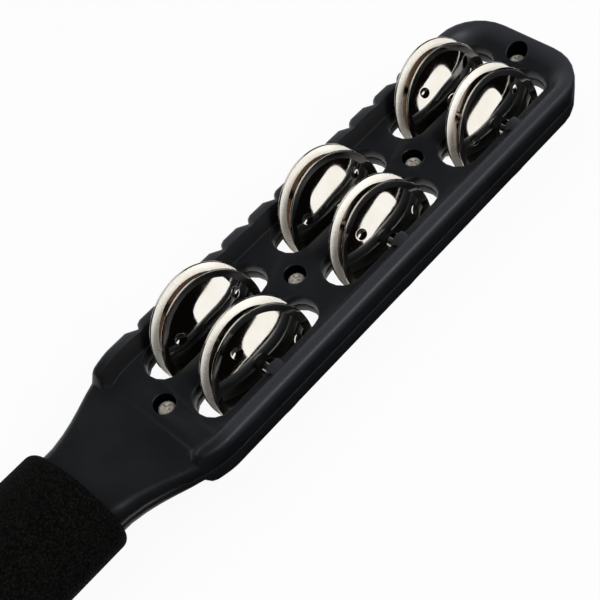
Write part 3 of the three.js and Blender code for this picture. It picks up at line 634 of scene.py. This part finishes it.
def build_jingle(name, materials, settings, spin):
    """A pressed disc: a dome, a turned flange, a rounded rim, a centre hole and three dimples."""
    half = settings.sheet / 2
    profile = jingle_profile(settings)
    centres = [math.radians(120 * k) for k in range(3)]
    fine = DIMPLE_MARGIN * settings.dimple_radius / settings.dimple_circle
    angles = []
    for centre in centres:
        angles += spread(centre - fine, centre + fine, step=math.radians(0.9))
        angles += spread(centre + fine, centre + math.radians(120) - fine, step=math.radians(4))
    segments = len(angles)

    def sink(r, angle):
        """How deep the dimples press the sheet at a point."""
        depth = 0.0
        for centre in centres:
            dx = r * math.cos(angle) - settings.dimple_circle * math.cos(centre)
            dy = r * math.sin(angle) - settings.dimple_circle * math.sin(centre)
            d = math.hypot(dx, dy) / settings.dimple_radius
            if d < 1:
                depth += settings.dimple_depth * (1 - d * d)
        return depth

    rings = [(r, h, half) for r, h in profile]
    edge = [(profile[-1][0] + half * math.sin(a), half * math.cos(a))
            for a in map(math.radians, RIM_ANGLES)]
    rings += [(r, profile[-1][1], offset) for r, offset in edge]
    rings += [(r, h, -half) for r, h in reversed(profile)]
    verts = []
    for r, h, offset in rings:
        for angle in angles:
            y = h + offset - sink(r, angle)
            verts.append((r * math.cos(angle), y, -r * math.sin(angle)))
    count = len(rings)
    faces = [(a, d, c, b) for a, b, c, d in ring_faces(count, segments)]
    made = link_mesh(name, verts, faces, materials[0])
    for material in materials[1:]:
        made.data.materials.append(material)
    flange = len(profile) - len(FLANGE_SHARES)
    front = len(profile) + len(RIM_ANGLES)
    kinds = [0 if i < front else 1 if i < count - flange else 2 for i in range(count)]
    face_kinds = [kind for kind in kinds for _ in range(segments)]
    made.data.polygons.foreach_set("material_index", face_kinds)
    creases = {flange - 1, count - flange}
    for edge in made.data.edges:
        first, second = edge.vertices
        if first // segments == second // segments and first // segments in creases:
            edge.use_edge_sharp = True
    made.data.transform(Matrix.Rotation(math.radians(spin), 4, "Y"))
    return made


# Operators

class JINGLESTICK_OT_shells(bpy.types.Operator):
    """Gives the two half shells their moulded plastic and rounded edges"""

    bl_idname = "jinglestick.shells"
    bl_label = "Half Shells"

    def execute(self, context):
        settings = context.scene.jingle_shell
        material = shell_material(settings)
        for node in ("upper_shell", "lower_shell"):
            soften_edges(set_material(node, material), settings.edge_radius)
        # A copy of the plastic at a tenth of its colour and sheen: painted shade for the screw
        # holes' walls
        self.shade_holes(shell_material(settings, "shaded_plastic", 0.1))
        return {"FINISHED"}

    def shade_holes(self, material):
        """Gives the walls of the screw holes the darker plastic copy, painted shade."""
        cad = frame["nodes"]["upper_shell"]
        cad.data.materials.append(material)
        axes = []
        for screw in SCREWS:
            low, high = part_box(screw)
            axes.append((low + high) / 2)
        for face in cad.data.polygons:
            near = min(math.hypot(face.center.x - axis.x, face.center.y - axis.y) for axis in axes)
            if near < HOLE_REACH and abs(face.normal.z) < 0.5:
                face.material_index = 1


class JINGLESTICK_OT_jingles(bpy.types.Operator):
    """Builds the twelve pressed jingles on their pins"""

    bl_idname = "jinglestick.jingles"
    bl_label = "Jingles"

    def execute(self, context):
        settings = context.scene.jingle_disc
        # The third plate, for the back of the dome, is darker and browner: painted shade between the
        # facing discs
        plates = (nickel_material(settings),
                  nickel_material(settings, "nickel_rim", settings.rim_haze, metal=0.35),
                  nickel_material(settings, "nickel_inside", 0.06, (0.25, 0.175, 0.12)))
        for station, x in STATIONS.items():
            for row, side in ROWS.items():
                for disc, facing in DISCS.items():
                    body = f"{station}_{row}_slot_{disc}"
                    made = build_jingle(f"{body}_disc", plates, settings, SPINS[body])
                    lean = -settings.lean if facing > 0 else math.pi - settings.lean
                    y = side * settings.row + facing * settings.spacing
                    made.data.transform(Matrix.Rotation(lean, 4, "X"))
                    made.data.transform(Matrix.Translation((x, y, 0)))
                    # The right row is in no reflection, so that the left row mirrors the card
                    made.visible_glossy = row == "left"
                    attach(made, body)
                    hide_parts(f"{body}_jingle")
        return {"FINISHED"}


class JINGLESTICK_OT_pins(bpy.types.Operator):
    """Gives the cross pins their drawn wire"""

    bl_idname = "jinglestick.pins"
    bl_label = "Cross Pins"

    def execute(self, context):
        material = wire_material()
        for station in STATIONS:
            soften_edges(set_material(f"{station}_pin", material), 0.0001, 50)
        return {"FINISHED"}


class JINGLESTICK_OT_screws(bpy.types.Operator):
    """Gives the screws their dull plate"""

    bl_idname = "jinglestick.screws"
    bl_label = "Screws"

    def execute(self, context):
        material = screw_material()
        for node in SCREWS:
            soften_edges(set_material(node, material), 0.00012)
        return {"FINISHED"}


class JINGLESTICK_OT_grip(bpy.types.Operator):
    """Builds the foam grip round the handle core"""

    bl_idname = "jinglestick.grip"
    bl_label = "Foam Grip"

    def execute(self, context):
        settings = context.scene.jingle_grip
        radius = (GRIP_HIGH.z - GRIP_LOW.z) / 2
        edge = settings.edge_radius
        x0, x1 = GRIP_LOW.x, GRIP_HIGH.x
        around, steps = 144, 60
        round_angles = [math.radians(90 * i / 8) for i in range(9)]
        outline = [(x0 + edge * (1 - math.cos(a)), radius - edge * (1 - math.sin(a)))
                   for a in round_angles]
        for i in range(1, steps):
            outline.append((x0 + edge + (x1 - x0 - 2 * edge) * i / steps, radius))
        outline += [(x1 - edge * (1 - math.sin(a)), radius - edge * (1 - math.cos(a)))
                    for a in round_angles]

        def bore_point(angle):
            """Point of the flat bore at an angle."""
            c, s = math.cos(angle), math.sin(angle)
            return (BORE_HALF_WIDTH * math.copysign(abs(c) ** BORE_POWER, c),
                    BORE_HALF_HEIGHT * math.copysign(abs(s) ** BORE_POWER, s))

        rings = []
        turns = [2 * math.pi * k / around for k in range(around)]
        for x, r in outline:
            rings.append([(x, r * math.cos(angle), r * math.sin(angle)) for angle in turns])
        for x, share in ((x1, 0.6), (x1, 0.25), (x1, 0.0), (x1 - BORE_RING_INSET, 0.0),
                         (x0 + BORE_RING_INSET, 0.0), (x0, 0.0), (x0, 0.25), (x0, 0.6)):
            ring = []
            for angle in turns:
                by, bz = bore_point(angle)
                oy, oz = (radius - edge) * math.cos(angle), (radius - edge) * math.sin(angle)
                ring.append((x, by + (oy - by) * share, bz + (oz - bz) * share))
            rings.append(ring)
        verts = []
        for ring in rings:
            for x, y, z in ring:
                near = max(0.0, 1 - (x1 - x) / PUSH_REACH)
                verts.append((x + settings.push * near * 0.5 * (1 - y / radius), y, z))
        faces = ring_faces(len(rings), around)
        made = link_mesh("foam_sleeve", verts, faces, foam_material(settings))
        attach(made, "stick")
        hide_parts("foam_grip")
        return {"FINISHED"}


class JINGLESTICK_OT_stage(bpy.types.Operator):
    """Sets up the floor, the lights, the world and the camera"""

    bl_idname = "jinglestick.stage"
    bl_label = "Studio and Camera"

    def execute(self, context):
        settings = context.scene.jingle_stage
        scene = context.scene
        scene.view_settings.view_transform = "Standard"
        low = FRAME_BOX[0].z - settings.floor_gap
        size = 3.0
        corners = [(-size, -size, low), (size, -size, low), (size, size, low), (-size, size, low)]
        floor = link_mesh("floor", corners, [(0, 1, 2, 3)], floor_material(), False)

        world = bpy.data.worlds.new("studio")
        scene.world = world
        world.use_nodes = True
        tree = world.node_tree
        back = tree.nodes["Background"]
        strength = math_node(tree, "MULTIPLY_ADD", seen_rays(tree), 1 - WORLD_SOFT, WORLD_SOFT)
        tree.links.new(strength, back.inputs["Strength"])
        back.inputs["Color"].default_value = (1, 1, 1, 1)

        discs, others = self.sort_pieces()
        self.add_flags(others)
        self.add_cards(discs)
        key = self.add_softbox("key_softbox", direction=(0.32, -0.62, 0.80), distance=0.9,
                               width=0.36, height=0.30, power=3.2)
        key.light_linking.receiver_collection = others
        rims = self.add_softbox("rim_softbox", direction=(0.2, -0.75, 0.6), distance=0.9,
                                width=0.5, height=0.4, power=9.0)
        rims.visible_glossy = False
        rims.light_linking.receiver_collection = discs
        fill = self.add_softbox("fill_softbox", direction=(-0.15, 0.25, 1.0), distance=1.1,
                                width=0.7, height=0.7, power=3.0)
        fill.visible_glossy = False
        self.add_camera(settings)
        return {"FINISHED"}

    def add_flags(self, others):
        """A dark hood and a pale window low on its far side, seen only in reflections."""
        verts, faces = self.dome_patch(HOOD_RADIUS, 0, 90)
        pane, cover = [], []
        for i, face in enumerate(faces):
            opening = i < WINDOW_RINGS * DOME_SIDES and i % DOME_SIDES in WINDOW_SIDES
            (pane if opening else cover).append(face)
        hood = link_mesh("studio_hood", verts, cover, flag_material())
        window = link_mesh("studio_window", verts, pane, card_material())
        window.light_linking.receiver_collection = others
        for piece in (hood, window):
            self.reflect_only(piece)

    def add_cards(self, discs):
        """A dark cloth, a pale card and a pale cap overhead, seen only in reflections."""
        low = FRAME_BOX[0].z
        reach, near = 1.6, -0.021
        corners = [(-reach, near, low), (reach, near, low),
                   (reach, -reach, low), (-reach, -reach, low)]
        cloth = link_mesh("studio_cloth", corners, [(0, 1, 2, 3)], flag_material(), False)
        far, across, up = 0.9, math.radians(19), math.radians(12)
        middle_turn, middle_rise = math.radians(-66), math.radians(5)
        sides, corner = 48, 0.7
        verts = []
        for i in range(sides):
            a = 2 * math.pi * i / sides
            bulge = abs(math.cos(a)) ** corner, abs(math.sin(a)) ** corner
            turn = middle_turn + across * math.copysign(bulge[0], math.cos(a))
            rise = middle_rise + up * math.copysign(bulge[1], math.sin(a))
            verts.append((HEAD_X + far * math.cos(turn), far * math.sin(turn),
                          far * math.tan(rise)))
        card = link_mesh("studio_card", verts, [tuple(range(sides))], card_material(), False)
        verts, faces = self.dome_patch(CAP_RADIUS, CAP_LOW, 90)
        cap = link_mesh("studio_cap", verts, faces, card_material(), False)
        for piece in (cloth, card, cap):
            self.reflect_only(piece)
        card.light_linking.receiver_collection = discs
        cap.light_linking.receiver_collection = discs

    def reflect_only(self, piece):
        """Stages a piece that is seen only in reflections."""
        piece.visible_camera = False
        piece.visible_diffuse = False
        piece.visible_shadow = False
        piece.visible_transmission = False

    def dome_patch(self, radius, low, high):
        """Points and faces of a dome between two heights in degrees."""
        verts = []
        for i in range(DOME_RINGS + 1):
            e = math.radians(low + (high - low) * i / DOME_RINGS)
            for k in range(DOME_SIDES):
                a = 2 * math.pi * k / DOME_SIDES
                verts.append((radius * math.cos(e) * math.cos(a),
                              radius * math.cos(e) * math.sin(a), radius * math.sin(e)))
        return verts, ring_faces(DOME_RINGS + 1, DOME_SIDES, closed=False)

    def sort_pieces(self):
        """Two collections for the lights: the jingles, and all the other pieces."""
        discs = bpy.data.collections.new("mirror_pieces")
        others = bpy.data.collections.new("other_pieces")
        for made in bpy.context.scene.objects:
            if made.type == "MESH":
                (discs if made.name.endswith("_disc") else others).objects.link(made)
        return discs, others

    def add_softbox(self, name, direction, distance, width, height, power):
        """An area lamp aimed at the head."""
        data = bpy.data.lights.new(name, "AREA")
        data.shape = "RECTANGLE"
        data.size, data.size_y = width, height
        data.energy = power
        lamp = bpy.data.objects.new(name, data)
        bpy.context.scene.collection.objects.link(lamp)
        way = Vector(direction).normalized()
        lamp.location = Vector((HEAD_X, 0, 0)) + way * distance
        lamp.rotation_euler = way.to_track_quat("Z", "Y").to_euler()
        return lamp

    def add_camera(self, settings):
        """The photograph's camera: its place and its axes in the part's frame."""
        data = bpy.data.cameras.new("camera")
        data.lens = settings.lens
        data.sensor_width = 36.0
        data.clip_start, data.clip_end = 0.01, 20
        camera = bpy.data.objects.new("camera", data)
        bpy.context.scene.collection.objects.link(camera)
        right = Vector((0.664403, -0.729236, -0.163657))
        down = Vector((-0.667226, -0.480100, -0.569485))
        ahead = Vector((0.336717, 0.487564, -0.805545))
        axes = Matrix((right, -down, -ahead)).transposed().to_4x4()
        axes.translation = Vector((-0.080893, -0.180407, 0.289266))
        camera.matrix_world = axes
        bpy.context.scene.camera = camera


class JINGLESTICK_PT_panel(bpy.types.Panel):
    """Lists the pieces of the jingle stick"""

    bl_idname = "JINGLESTICK_PT_panel"
    bl_label = "Jingle Stick"
    bl_space_type = "VIEW_3D"
    bl_region_type = "UI"
    bl_category = "Jingle Stick"

    def draw(self, context):
        layout = self.layout
        for group in ("jingle_shell", "jingle_disc", "jingle_grip", "jingle_stage"):
            settings = getattr(context.scene, group)
            box = layout.box()
            for key in type(settings).__annotations__:
                box.prop(settings, key)
        for operator in OPERATORS:
            layout.operator(operator.bl_idname)


OPERATORS = (
    JINGLESTICK_OT_shells,
    JINGLESTICK_OT_jingles,
    JINGLESTICK_OT_pins,
    JINGLESTICK_OT_screws,
    JINGLESTICK_OT_grip,
    JINGLESTICK_OT_stage,
)
SETTINGS = {
    "jingle_shell": ShellSettings,
    "jingle_disc": JingleSettings,
    "jingle_grip": GripSettings,
    "jingle_stage": StageSettings,
}


def register():
    for group in SETTINGS.values():
        bpy.utils.register_class(group)
    for name, group in SETTINGS.items():
        setattr(bpy.types.Scene, name, bpy.props.PointerProperty(type=group))
    for operator in OPERATORS:
        bpy.utils.register_class(operator)
    bpy.utils.register_class(JINGLESTICK_PT_panel)


def unregister():
    bpy.utils.unregister_class(JINGLESTICK_PT_panel)
    for operator in reversed(OPERATORS):
        bpy.utils.unregister_class(operator)
    for name in SETTINGS:
        delattr(bpy.types.Scene, name)
    for group in SETTINGS.values():
        bpy.utils.unregister_class(group)


def main():
    register()
    bpy.ops.jinglestick.shells()
    bpy.ops.jinglestick.jingles()
    bpy.ops.jinglestick.pins()
    bpy.ops.jinglestick.screws()
    bpy.ops.jinglestick.grip()
    bpy.ops.jinglestick.stage()


if __name__ == "__main__":
    main()
